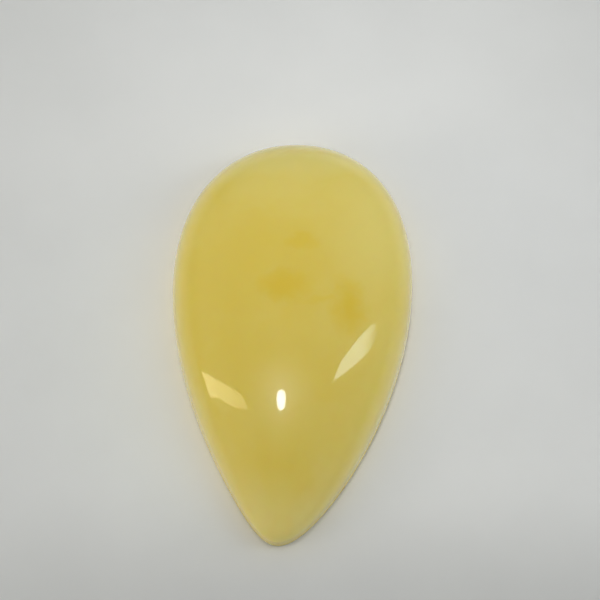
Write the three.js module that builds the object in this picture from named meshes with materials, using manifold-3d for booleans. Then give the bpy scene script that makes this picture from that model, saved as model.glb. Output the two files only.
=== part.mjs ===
// Amber teardrop cabochon: one polished stone, domed on top and ground flat behind.
// Millimetres, +Z up. It lies on its flat back at z = 0 with its point towards -Y,
// and the origin is under the middle of its length and width.
import * as THREE from "three";
import { mergeVertices } from "three/addons/utils/BufferGeometryUtils.js";
import Module from "manifold-3d";

// Overall size
const length = 40;
const width = 23.2;
const height = 9.2;

// Along the stone, t runs from -1 at the point to 1 at the round end.
// The outline seen from above, and the crest of the dome seen from the side, are each an
// ellipse that thins towards the point: sqrt(1 - t^2) * (a + b t + c t^2 + d t^3)
const outlineShape = [1, 0.327, -0.046, 0.063];
const crestShape = [1, 0.3, -0.155, 0.035];

// The stone is cut by hand: its point leans to -X, and its round end to +X
const pointLean = 0.6;
const roundLean = 0.32;

// The dome stands on a low wall, and its sides are a little fuller than an ellipse
const girdleHeight = 2;
const sideFullness = 0.88;

// Below the girdle the wall tucks in slightly, down to the flat back
const bellyDepth = 3;
const bellyRounding = 0.03;

// Facets
const facetsAround = 96;
const facetsOver = 52;

function thinned(t, shape) {
  return Math.sqrt(1 - t * t) * shape.reduce((sum, weight, power) => sum + weight * t ** power, 0);
}

// The thinned ellipse, scaled so that it is 1 at its fullest place
function profileOf(shape) {
  const stations = Array.from({ length: 401 }, (_, i) => i / 200 - 1);
  const fullest = Math.max(...stations.map((t) => thinned(t, shape)));
  return (t) => thinned(t, shape) / fullest;
}

const outline = profileOf(outlineShape);
const crest = profileOf(crestShape);

function middleLine(t) {
  return t > 0 ? roundLean * t ** 3 : pointLean * t ** 5;
}

// side is -1 at the left edge, 0 on the middle line and 1 at the right edge
function placeAcross(t, side) {
  return middleLine(t) + (width / 2) * outline(t) * side;
}

// A direction above the girdle becomes a point on the dome: a rounded section at each station
function domePoint(direction) {
  const t = direction.y;
  const around = Math.hypot(direction.x, direction.z);
  const side = around > 0 ? direction.x / around : 0;
  const up = around > 0 ? direction.z / around : 0;
  const rise = (height - girdleHeight) * crest(t) * up ** sideFullness;
  return new THREE.Vector3(placeAcross(t, side), (length / 2) * t, girdleHeight + rise);
}

// A direction below the girdle becomes a point on the belly: the outline, drawn in as it goes down
function bellyPoint(direction) {
  const flat = Math.hypot(direction.x, direction.y);
  const t = flat > 0 ? direction.y / flat : 0;
  const drawnIn = flat ** bellyRounding;
  const x = placeAcross(t, Math.sign(direction.x)) * drawnIn;
  const y = (length / 2) * t * drawnIn;
  return new THREE.Vector3(x, y, girdleHeight + bellyDepth * direction.z);
}

function uncutStone() {
  const geometry = new THREE.SphereGeometry(1, facetsAround, facetsOver).rotateX(Math.PI / 2);
  const position = geometry.getAttribute("position");
  const direction = new THREE.Vector3();
  for (let i = 0; i < position.count; i++) {
    direction.fromBufferAttribute(position, i).normalize();
    const point = direction.z < 0 ? bellyPoint(direction) : domePoint(direction);
    position.setXYZ(i, point.x, point.y, point.z);
  }
  return geometry;
}

// What the grinding wheel takes off to leave the flat back
function groundAway() {
  const depth = bellyDepth;
  return new THREE.BoxGeometry(2 * width, 2 * length, depth).translate(0, 0, -depth / 2);
}

const wasm = await Module();
wasm.setup();

function solidFrom(geometry) {
  const bare = geometry.clone();
  bare.deleteAttribute("normal");
  bare.deleteAttribute("uv");
  const merged = mergeVertices(bare, 1e-3);
  return new wasm.Manifold(
    new wasm.Mesh({
      numProp: 3,
      vertProperties: merged.getAttribute("position").array,
      triVerts: new Uint32Array(merged.index.array),
    }),
  );
}

function geometryFrom(solid) {
  const mesh = solid.getMesh();
  const geometry = new THREE.BufferGeometry();
  geometry.setAttribute("position", new THREE.BufferAttribute(mesh.vertProperties, 3));
  geometry.setIndex(new THREE.BufferAttribute(mesh.triVerts, 1));
  geometry.computeVertexNormals();
  return geometry;
}

function cabochonGeometry() {
  const geometry = geometryFrom(solidFrom(uncutStone()).subtract(solidFrom(groundAway())));
  geometry.computeBoundingBox();
  const middle = geometry.boundingBox.getCenter(new THREE.Vector3());
  return geometry.translate(-middle.x, -middle.y, 0);
}

const milkyAmber = new THREE.MeshStandardMaterial({
  color: new THREE.Color("#cbb75a"),
  roughness: 0.08,
  metalness: 0,
});

const cabochon = new THREE.Mesh(cabochonGeometry(), milkyAmber);
cabochon.name = "amber_teardrop";

const stone = new THREE.Group();
stone.add(cabochon);

export default stone;
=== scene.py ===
import math

import bmesh
import bpy
import numpy as np
from mathutils import Matrix, Vector, noise


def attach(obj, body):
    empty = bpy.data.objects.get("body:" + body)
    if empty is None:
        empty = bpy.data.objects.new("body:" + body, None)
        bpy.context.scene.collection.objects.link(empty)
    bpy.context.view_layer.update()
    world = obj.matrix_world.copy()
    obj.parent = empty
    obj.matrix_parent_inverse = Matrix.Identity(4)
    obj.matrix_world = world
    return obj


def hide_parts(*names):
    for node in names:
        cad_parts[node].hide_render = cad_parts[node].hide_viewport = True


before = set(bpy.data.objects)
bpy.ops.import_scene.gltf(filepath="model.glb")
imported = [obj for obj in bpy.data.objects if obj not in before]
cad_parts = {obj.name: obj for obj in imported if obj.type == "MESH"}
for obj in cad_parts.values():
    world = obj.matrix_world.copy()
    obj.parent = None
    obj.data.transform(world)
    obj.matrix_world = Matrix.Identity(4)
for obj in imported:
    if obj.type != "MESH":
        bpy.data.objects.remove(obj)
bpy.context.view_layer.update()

mm = 0.001


# Shader wires: an expression on wires and numbers adds its Math nodes
class Wire:
    def __init__(self, tree, socket=None):
        self.tree = tree
        self.socket = socket

    # Any node: its settings are set first, then its sockets get values or links
    def node(self, kind, settings=None, sockets=None, output=0):
        made = self.tree.nodes.new(kind)
        for name, value in (settings or {}).items():
            setattr(made, name, value)
        for name, value in (sockets or {}).items():
            if isinstance(value, Wire):
                self.tree.links.new(value.socket, made.inputs[name])
            else:
                made.inputs[name].default_value = value
        return Wire(self.tree, made.outputs[output]) if len(made.outputs) else None

    def math(self, operation, first, second=0.0):
        return self.node("ShaderNodeMath", {"operation": operation}, {0: first, 1: second})

    def __add__(self, other):
        return self.math("ADD", self, other)

    def __sub__(self, other):
        return self.math("SUBTRACT", self, other)

    def __rsub__(self, other):
        return self.math("SUBTRACT", other, self)

    def __mul__(self, other):
        return self.math("MULTIPLY", self, other)

    def __truediv__(self, other):
        return self.math("DIVIDE", self, other)

    def __rtruediv__(self, other):
        return self.math("DIVIDE", other, self)

    def __pow__(self, other):
        return self.math("POWER", self, other)

    def __rpow__(self, other):
        return self.math("POWER", other, self)

    __radd__ = __add__
    __rmul__ = __mul__


def vectorMath(wires, operation, first, second=(0, 0, 0), output=0):
    return wires.node("ShaderNodeVectorMath", {"operation": operation}, {0: first, 1: second}, output)


def mixColour(wires, factor, first, second, blend="MIX"):
    settings = {"data_type": "RGBA", "blend_type": blend}
    return wires.node("ShaderNodeMix", settings, {0: factor, 6: first, 7: second}, 2)


def smoothRange(wires, value, low, high, toLow=0.0, toHigh=1.0):
    sockets = {"Value": value, "From Min": low, "From Max": high, "To Min": toLow, "To Max": toHigh}
    return wires.node("ShaderNodeMapRange", {"interpolation_type": "SMOOTHSTEP"}, sockets)


def noiseAt(wires, place, size, detail=2.0, roughness=0.5, output=0):
    sockets = {"Vector": place, "Scale": 1 / size, "Detail": detail, "Roughness": roughness}
    return wires.node("ShaderNodeTexNoise", {"noise_dimensions": "3D"}, sockets, output)


# 0 in the middle of an egg-shaped patch, 1 on its border
def distanceFrom(wires, place, middle, half):
    away = vectorMath(wires, "DIVIDE", vectorMath(wires, "SUBTRACT", place, middle), half)
    return vectorMath(wires, "LENGTH", away, output="Value")


def opaque(colour):
    return (*colour, 1.0)


def newMaterial(name):
    material = bpy.data.materials.new(name)
    material.use_nodes = True
    material.node_tree.nodes.clear()
    return material, Wire(material.node_tree)


# The stone, in millimetres
stone = {
    "length": 40.0, "width": 23.2, "height": 9.2,
    "outline": (1, 0.327, -0.046, 0.063),     # an ellipse that thins towards its point
    "crest": (1, 0.3, -0.155, 0.035),         # the same for the dome's crest, seen from the side
    "pointLean": 0.6, "roundLean": 0.32,      # the ends lean to opposite sides
    "girdle": 2.0, "fullness": 0.88,
    "bellyDepth": 3.0, "bellyRounding": 0.03,
    "edgeHeight": 0.18, "edgeWidth": 0.01,    # the back's edge is eased, not left sharp
    "wallRows": 0.3, "edgeRows": 0.12,        # shares of the mesh below the girdle
    "waveSize": 7.0, "waveDepth": 0.02,       # what the polishing wheel leaves
    "fineness": 7,
}


def thinned(t, shape):
    return np.sqrt(np.maximum(1 - t * t, 0)) * sum(weight * t**power for power, weight in enumerate(shape))


# t runs from -1 at the point to 1 at the round end
def profile(t, shape):
    stations = np.linspace(-1, 1, 401)
    return thinned(t, shape) / thinned(stations, shape).max()


def placeAcross(t, side):
    middle = np.where(t > 0, stone["roundLean"] * t**3, stone["pointLean"] * t**5)
    return middle + stone["width"] / 2 * profile(t, stone["outline"]) * side


def lengthOf(first, second):
    neverZero = 1e-9
    return np.maximum(np.hypot(first, second), neverZero)


def domePoints(direction):
    x, t, z = direction.T
    around = lengthOf(x, z)
    rise = (stone["height"] - stone["girdle"]) * profile(t, stone["crest"])
    up = stone["girdle"] + rise * np.maximum(z / around, 0) ** stone["fullness"]
    return np.stack([placeAcross(t, x / around), stone["length"] / 2 * t, up], 1)


# Below the girdle: down the wall, round the eased edge, then in across the flat back
def bellyPoints(direction):
    x, y, z = direction.T
    t = y / lengthOf(x, y)
    down = np.arcsin(np.clip(-z, 0, 1)) / (math.pi / 2)
    wallEnd = stone["wallRows"]
    edgeEnd = wallEnd + stone["edgeRows"]
    edge = stone["edgeHeight"]
    wallZ = stone["girdle"] + (edge - stone["girdle"]) * np.clip(down / wallEnd, 0, 1)
    sunk = (stone["girdle"] - wallZ) / stone["bellyDepth"]
    wallIn = (1 - sunk**2) ** (stone["bellyRounding"] / 2)
    turn = np.clip((down - wallEnd) / (edgeEnd - wallEnd), 0, 1) * math.pi / 2
    height = wallZ - edge * np.sin(turn)
    drawnIn = wallIn - stone["edgeWidth"] * (1 - np.cos(turn))
    drawnIn = drawnIn * (1 - np.clip((down - edgeEnd) / (1 - edgeEnd), 0, 1))
    across = placeAcross(t, np.where(x < 0, -1, 1)) * drawnIn
    return np.stack([across, stone["length"] / 2 * t * drawnIn, np.maximum(height, 0)], 1)


def makeStone():
    shape = bmesh.new()
    bmesh.ops.create_icosphere(shape, subdivisions=stone["fineness"], radius=1)
    direction = np.array([vertex.co.normalized() for vertex in shape.verts])
    upper = direction[:, 2:] >= 0
    points = np.where(upper, domePoints(direction), bellyPoints(direction))
    for vertex, point in zip(shape.verts, points):
        vertex.co = Vector(point)
    shape.normal_update()
    for vertex in shape.verts:
        wave = noise.noise(vertex.co / stone["waveSize"]) * 0.5 + 0.5
        vertex.co -= vertex.normal * wave * stone["waveDepth"] * min(1, vertex.co.z / stone["girdle"])
    for vertex in shape.verts:
        vertex.co *= mm
    mesh = bpy.data.meshes.new("milky_amber_stone")
    shape.to_mesh(mesh)
    shape.free()
    mesh.shade_smooth()
    piece = bpy.data.objects.new("milky_amber_stone", mesh)
    bpy.context.scene.collection.objects.link(piece)
    return piece


# The amber's colour and finish: places, heights and sizes in millimetres.
# Each range is from, to, and the strength at either end
amber = {
    "milk": (0.745, 0.598, 0.102),
    "scatter": (1.0, 0.8, 0.5), "scatterDepth": 2.2, "lightBend": 1.54,
    "swirlSize": 6.0, "swirl": 5.0,           # how the clouds are stirred
    "fraySize": 1.8, "fray": 2.2,             # how ragged the clear spots are
    "patchRange": (0.15, 1.5),                # a cloud or spot fades out from its middle, in half sizes

    "cream": (0.775, 0.672, 0.2),             # the milkier places: middle, half sizes, strength
    "cloudSize": 9.0, "cloudRange": (0.4, 0.75), "cloudHeights": (3.0, 7.0, 0.7, 0.4),
    "paleClouds": [
        ((8.5, 10.5, 6.0), (6.0, 8.5, 6.0), 0.68),
        ((0.8, 19.0, 3.0), (10.0, 4.5, 5.0), 0.55),
        ((1.0, 16.2, 5.3), (11.0, 2.5, 3.0), 0.9),
        ((-1.0, -9.5, 8.0), (4.0, 5.0, 4.0), 0.32),
        ((9.0, 0.0, 5.5), (2.5, 8.0, 3.0), 0.45),
        ((0.0, -19.5, 3.0), (6.0, 4.5, 4.5), 0.7),
    ],

    "honey": (0.728, 0.552, 0.038),           # the clearer places, deeper in colour
    "clearSize": 5.5, "clearRange": (0.62, 0.8, 0.0, 0.3),
    "clearSpots": [
        ((-0.7, 3.2, 9.0), (2.7, 1.7, 2.5), 0.95),
        ((5.4, 1.6, 8.4), (1.6, 2.6, 2.5), 0.95),
        ((0.7, 7.4, 8.9), (1.7, 1.1, 2.5), 0.7),
        ((3.1, 1.7, 9.0), (2.8, 0.5, 2.5), 0.45),
        ((-1.8, 5.0, 8.5), (6.5, 5.5, 4.0), 0.3),
        ((-4.6, 1.5, 8.0), (3.0, 9.0, 5.0), 0.25),
    ],

    "paintedRimLight": (0.78, 0.68, 0.27),           # painted light: thin amber low on the dome is made paler, for the light it lets through
    "rimLightHeights": (2.4, 5.8, 0.7, 0.0), "rimLightFoot": (0.6, 2.4),

    "paintedWallShade": (0.8, 0.58, 0.12),                # painted shade: the low wall is warmer and browner here and there
    "wallShadeSize": 4.0, "wallShadeRise": 4.0, "wallShadeFoot": 0.2, "wallShadeRange": (0.2, 1.4, 0.55, 0.0),

    "groundTint": (0.82, 0.74, 0.38),         # grinding scratches whiten the back
    "backHeights": (0.02, 0.18, 1.0, 0.0), "whitening": (0.3, 0.75, 0.0, 0.75),
    "scratchStretch": (0.2, 3.0, 1.0), "scratchDepth": 0.06, "scratches": 0.8,

    "gloss": 0.035, "wallPolish": (1.8, 2.6, 0.1, 1.0), "backPolish": 0.1,
    "haze": 0.2, "hazeShare": 0.1, "smear": 0.06, "smearSize": 2.5, "groundBack": 0.5,
}


def stirred(wires, place, size, far):
    wander = noiseAt(wires, place, size, output="Color")
    wander = vectorMath(wires, "SUBTRACT", wander, (0.5,) * 3)
    return vectorMath(wires, "ADD", place, vectorMath(wires, "MULTIPLY", wander, (far,) * 3))


def withPatches(wires, strengthSoFar, place, patches):
    for middle, half, strength in patches:
        away = distanceFrom(wires, place, middle, half)
        patch = smoothRange(wires, away, *amber["patchRange"], strength, 0.0)
        strengthSoFar = wires.math("MAXIMUM", strengthSoFar, patch)
    return strengthSoFar


# Milky all through, with paler clouds, clearer spots, painted light on a pale thin rim and painted shade
# on the low wall
def amberColour(wires, place, height):
    swirled = stirred(wires, place, amber["swirlSize"], amber["swirl"])
    frayed = stirred(wires, place, amber["fraySize"], amber["fray"])

    pale = noiseAt(wires, swirled, amber["cloudSize"], detail=3.0, roughness=0.55)
    pale = smoothRange(wires, pale, *amber["cloudRange"])
    pale = pale * smoothRange(wires, height, *amber["cloudHeights"])
    pale = withPatches(wires, pale, swirled, amber["paleClouds"])
    colour = mixColour(wires, pale, opaque(amber["milk"]), opaque(amber["cream"]))

    clear = smoothRange(wires, noiseAt(wires, swirled, amber["clearSize"]), *amber["clearRange"])
    clear = withPatches(wires, clear, frayed, amber["clearSpots"])
    colour = mixColour(wires, clear, colour, opaque(amber["honey"]))

    # Painted light: paler where the amber is thin, low on the dome
    rimLight = smoothRange(wires, height, *amber["rimLightHeights"])
    rimLight = rimLight * smoothRange(wires, height, *amber["rimLightFoot"])
    colour = mixColour(wires, rimLight, colour, opaque(amber["paintedRimLight"]))

    # Painted shade: the low wall warmer and browner, up to a wandering height
    wallShadeTop = noiseAt(wires, swirled, amber["wallShadeSize"]) * amber["wallShadeRise"] + amber["wallShadeFoot"]
    paintedWallShade = smoothRange(wires, height / wallShadeTop, *amber["wallShadeRange"])
    return mixColour(wires, paintedWallShade, colour, opaque(amber["paintedWallShade"]))


def amberMaterial():
    material, wires = newMaterial("milkyAmber")
    place = wires.node("ShaderNodeTexCoord", output="Object")
    place = vectorMath(wires, "MULTIPLY", place, (1 / mm,) * 3)
    height = wires.node("ShaderNodeSeparateXYZ", None, {0: place}, "Z")

    back = smoothRange(wires, height, *amber["backHeights"])
    stretched = vectorMath(wires, "MULTIPLY", place, amber["scratchStretch"])
    scratches = noiseAt(wires, stretched, 1.0, detail=4.0, roughness=0.6)
    whitened = smoothRange(wires, scratches, *amber["whitening"]) * back
    colour = mixColour(wires, whitened, amberColour(wires, place, height), opaque(amber["groundTint"]))

    rough = amber["haze"] + noiseAt(wires, place, amber["smearSize"], detail=3.0) * amber["smear"]
    rough = rough + back * (amber["groundBack"] - amber["haze"])
    polished = smoothRange(wires, height, *amber["wallPolish"]) * (1 - back * (1 - amber["backPolish"]))
    bump = wires.node("ShaderNodeBump", None, {
        "Height": scratches * back,
        "Distance": amber["scratchDepth"] * mm,
        "Strength": amber["scratches"],
    })

    look = wires.node("ShaderNodeBsdfPrincipled", {"subsurface_method": "RANDOM_WALK"}, {
        "Base Color": colour,
        "Roughness": rough,
        "Normal": bump,
        "IOR": amber["lightBend"],
        "Specular IOR Level": amber["hazeShare"],
        "Subsurface Weight": 1.0,
        "Subsurface Radius": amber["scatter"],
        "Subsurface Scale": amber["scatterDepth"] * mm,
        "Coat Weight": polished,
        "Coat Roughness": amber["gloss"],
        "Coat IOR": amber["lightBend"],
    })
    wires.node("ShaderNodeOutputMaterial", None, {"Surface": look})
    return material


# Camera: it looks down on the stone from its point's side. Places in millimetres, angles in degrees
camera = {
    "aim": (0.74, 4.77, 0.0),
    "azimuth": 1.8, "elevation": 71.0, "distance": 250.0,
    "lens": 154.0, "sensor": 36.0,
    "nearest": 10.0,                          # anything nearer isn't seen
}


def heading(azimuth, elevation):
    turn = math.radians(azimuth)
    rise = math.radians(elevation)
    return Vector((math.sin(turn) * math.cos(rise), math.cos(turn) * math.cos(rise), math.sin(rise)))


def makeCamera():
    data = bpy.data.cameras.new("camera")
    data.lens = camera["lens"]
    data.sensor_width = camera["sensor"]
    data.clip_start = camera["nearest"] * mm
    eye = bpy.data.objects.new("camera", data)
    back = heading(180 - camera["azimuth"], camera["elevation"])
    eye.location = (Vector(camera["aim"]) + back * camera["distance"]) * mm
    eye.rotation_mode = "QUATERNION"
    eye.rotation_quaternion = back.to_track_quat("Z", "Y")
    bpy.context.scene.collection.objects.link(eye)
    bpy.context.scene.camera = eye


# The floor: a wide sheet of pale matt paper, in metres. A soft patch of painted shade darkens it towards
# its near edge, and a patch of painted light makes it paler where the amber's left side throws light back
# on it
paper = {
    "size": 4.0, "colour": (0.80, 0.81, 0.815), "rough": 0.7, "sheen": 0.2,
    "mottle": 0.03, "mottleSize": 0.012, "mottleRange": (0.3, 0.7),
    "patchRange": (0.2, 1.0),                 # a patch fades out from its middle, in half sizes
    # Painted shade: a soft patch, darker towards the near edge
    "paintedShadeAt": (0.014, -0.031, 0.0), "paintedShadeHalf": (0.09, 0.0195, 1.0), "shade": 0.79,
    # Painted light: a paler patch where the amber's left side throws light back on it
    "bounceLightAt": (-0.006, -0.003, 0.0), "bounceLightHalf": (0.022, 0.024, 1.0), "bounceLitColour": (0.867, 0.879, 0.866),
}


def makeFloor():
    bpy.ops.mesh.primitive_plane_add(size=paper["size"])
    floor = bpy.context.object
    floor.name = "paper_floor"
    material, wires = newMaterial("palePaper")
    place = wires.node("ShaderNodeTexCoord", output="Object")
    mottle = noiseAt(wires, place, paper["mottleSize"], detail=4.0)
    shade = smoothRange(wires, mottle, *paper["mottleRange"], 1 - paper["mottle"], 1.0)
    # Painted shade: the soft patch darker towards the near edge
    away = distanceFrom(wires, place, paper["paintedShadeAt"], paper["paintedShadeHalf"])
    shade = shade * smoothRange(wires, away, *paper["patchRange"], paper["shade"], 1.0)
    # Painted light: the paler patch by the amber's left side
    away = distanceFrom(wires, place, paper["bounceLightAt"], paper["bounceLightHalf"])
    paintedBounceLight = smoothRange(wires, away, *paper["patchRange"], 1.0, 0.0)
    colour = mixColour(wires, paintedBounceLight, opaque(paper["colour"]), opaque(paper["bounceLitColour"]))
    colour = mixColour(wires, 1.0, colour, shade, "MULTIPLY")
    sockets = {"Base Color": colour, "Roughness": paper["rough"], "Specular IOR Level": paper["sheen"]}
    look = wires.node("ShaderNodeBsdfPrincipled", None, sockets)
    wires.node("ShaderNodeOutputMaterial", None, {"Surface": look})
    floor.data.materials.append(material)


# Lights: azimuth runs from +Y towards +X, sizes are in metres, and glow is what a mirror would show
lights = {
    "distance": 0.5,
    "lamp": {"azimuth": -159, "elevation": 75.5, "size": (0.053, 0.038), "turn": 19, "glow": (16, 16, 16)},
    "pool": {
        "place": (-0.01, 0.03, 0.6), "aim": (0.006, 0.015, 0), "radius": 0.046, "lampRadius": 0.03,
        "level": 0.29,
    },
    "leftFill": {"azimuth": -110, "elevation": 16, "size": 0.2, "glow": (4.8, 4.5, 3.9)},
    "rightFill": {"azimuth": 82, "elevation": 20, "size": 0.2, "glow": (3.5, 3.1, 2.8)},
    "warmPanel": {
        "azimuth": -102.6, "elevation": 27.9, "glow": (4.5, 3.9, 2.3),
        "dimmer": (-0.1, 0.3, 1.1, 0.7),      # from a height, to a height, and the strength at either
        "corners": [                          # across, up, and how far the side after it bows out
            (-0.07, -0.185, 0.007), (0.045, 0.23, 0), (0.085, 0.275, 0.004), (0.01, -0.01, 0),
            (-0.015, -0.15, 0),
        ],
    },
    "coolPanel": {
        "azimuth": 91.6, "elevation": 41.7, "glow": (4.1, 4.8, 4.6),
        "dimmer": (-0.15, 0.0, 0.25, 1.0),
        "corners": [
            (-0.08, 0.17, 0), (-0.035, 0.135, 0.012), (0.07, -0.11, 0), (0.05, -0.155, 0.006),
            (0, -0.095, 0),
        ],
    },
}


def aimedTurn(light):
    turn = Matrix.Rotation(math.radians(light.get("turn", 0)), 4, "Z").to_quaternion()
    return heading(light["azimuth"], light["elevation"]).to_track_quat("Z", "Y") @ turn


def aimed(light, name, data):
    made = bpy.data.objects.new(name, data)
    made.location = heading(light["azimuth"], light["elevation"]) * lights["distance"]
    made.rotation_mode = "QUATERNION"
    made.rotation_quaternion = aimedTurn(light)
    bpy.context.scene.collection.objects.link(made)
    made.visible_camera = False
    return made


def areaLight(name, size, mirrored):
    light = lights[name]
    data = bpy.data.lights.new(name, "AREA")
    data.shape = "ELLIPSE"
    data.size, data.size_y = size
    brightest = max(light["glow"])
    data.color = [part / brightest for part in light["glow"]]
    data.energy = brightest * math.pi * (math.pi / 4 * size[0] * size[1])
    made = aimed(light, name, data)
    made.visible_glossy = mirrored
    return made


# The ceiling lamp, which the crest of the dome mirrors
def makeLamp():
    areaLight("lamp", lights["lamp"]["size"], True)


# Daylight from both sides, too soft to be mirrored
def makeFill(name):
    size = lights[name]["size"]
    areaLight(name, (size, size), False)


# A soft pool of light on the paper, fading out towards the near edge
def makePool():
    light = lights["pool"]
    data = bpy.data.lights.new("pool", "SPOT")
    place = Vector(light["place"])
    away = place - Vector(light["aim"])
    data.spot_size = 2 * math.atan(light["radius"] / away.length)
    data.spot_blend = 1.0
    data.shadow_soft_size = light["lampRadius"]
    data.energy = light["level"] * 4 * math.pi**2 * away.length_squared
    pool = bpy.data.objects.new("pool", data)
    pool.location = place
    pool.rotation_mode = "QUATERNION"
    pool.rotation_quaternion = away.to_track_quat("Z", "Y")
    pool.visible_glossy = False
    bpy.context.scene.collection.objects.link(pool)


# Corners go clockwise, and a side that bows is an arc of a few steps
def bowedOutline(corners, steps=8):
    outline = []
    for (across, up, bow), (nextAcross, nextUp, nextBow) in zip(corners, corners[1:] + corners[:1]):
        run = nextAcross - across
        rise = nextUp - up
        for step in range(steps if bow else 1):
            share = step / steps
            out = bow * 4 * share * (1 - share) / math.hypot(run, rise)
            outline.append((across + run * share - rise * out, up + rise * share + run * out, 0))
    return outline


# A glowing panel of any outline, which the polished dome mirrors
def glowingPanel(name):
    light = lights[name]
    mesh = bpy.data.meshes.new(name)
    outline = bowedOutline(light["corners"])
    mesh.from_pydata(outline, [], [list(range(len(outline)))])
    material, wires = newMaterial(name + "Glow")
    brightest = max(light["glow"])
    tint = [part / brightest for part in light["glow"]]
    place = wires.node("ShaderNodeTexCoord", output="Object")
    up = wires.node("ShaderNodeSeparateXYZ", None, {0: place}, "Y")
    low, high, dimLow, dimHigh = light["dimmer"]
    strength = smoothRange(wires, up, low, high, dimLow * brightest, dimHigh * brightest)
    glow = wires.node("ShaderNodeEmission", None, {"Color": opaque(tint), "Strength": strength})
    wires.node("ShaderNodeOutputMaterial", None, {"Surface": glow})
    mesh.materials.append(material)
    aimed(light, name, mesh)


# The room all round: each range is in how far a direction points up, across or near, from -1 to 1
room = {
    "level": 0.445, "tint": (0.98, 1.0, 1.0),
    "lift": 0.095, "liftTo": (0, 30),         # a little brighter towards this azimuth and elevation
    "horizon": 0.5, "horizonRange": (0.0, 0.5),
    "halo": 1.0, "haloWidth": 0.42, "haloHeight": 0.17, "haloRise": 0.045, "overheadRange": (0.5, 0.8),
    "shade": 0.45, "lowShade": 0.75, "lowShadeRange": (0.75, 0.95),
    "shadeTop": 73, "shadeTopSoft": 0.05,     # its upper limit in degrees above the floor
    "shadeWidth": 0.45, "shadeSideSoft": 0.1,
}


def makeRoom():
    world = bpy.data.worlds.new("room")
    bpy.context.scene.world = world
    world.use_nodes = True
    world.node_tree.nodes.clear()
    wires = Wire(world.node_tree)
    direction = wires.node("ShaderNodeTexCoord", output="Generated")

    def along(axis):
        return vectorMath(wires, "DOT_PRODUCT", direction, axis, output="Value")

    up = along(heading(0, 90))

    # A round halo on the curved dome is a wide flat one on the ceiling round the lamp
    lamp = aimedTurn(lights["lamp"])
    wide = along(lamp @ Vector((1, 0, 0))) / room["haloWidth"]
    tall = (along(lamp @ Vector((0, 1, 0))) - room["haloRise"]) / room["haloHeight"]
    halo = smoothRange(wires, (wide**2 + tall**2) ** 0.5, 0.0, 1.0, room["halo"], 0.0)
    halo = halo * smoothRange(wires, up, *room["overheadRange"])

    # The near side of the room is darker, and darkest low down
    near = along(heading(180, 0))
    side, sideSoft = room["shadeWidth"], room["shadeSideSoft"]
    top, topSoft = math.cos(math.radians(room["shadeTop"])), room["shadeTopSoft"]
    across = wires.math("ABSOLUTE", along(heading(90, 0)))
    shade = smoothRange(wires, near, *room["lowShadeRange"], room["shade"], room["lowShade"])
    shade = shade * smoothRange(wires, across, side - sideSoft, side + sideSoft, 1.0, 0.0)
    shade = shade * smoothRange(wires, near, top - topSoft, top + topSoft)

    lift = along(heading(*room["liftTo"])) * room["lift"]
    horizon = smoothRange(wires, up, *room["horizonRange"], room["horizon"], 1.0)
    strength = (room["level"] + lift + halo) * (1 - shade) * horizon
    sky = wires.node("ShaderNodeBackground", None, {"Color": opaque(room["tint"]), "Strength": strength})
    wires.node("ShaderNodeOutputWorld", None, {"Surface": sky})


makeCamera()
print("camera made")

makeFloor()
print("floor made")

makeLamp()
makePool()
for name in ("leftFill", "rightFill"):
    makeFill(name)
for name in ("warmPanel", "coolPanel"):
    glowingPanel(name)
makeRoom()
bpy.context.scene.view_settings.view_transform = "Standard"
print("lights made")

piece = makeStone()
piece.data.materials.append(amberMaterial())
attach(piece, "root")
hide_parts("amber_teardrop")
print("stone made,", len(piece.data.polygons), "faces")
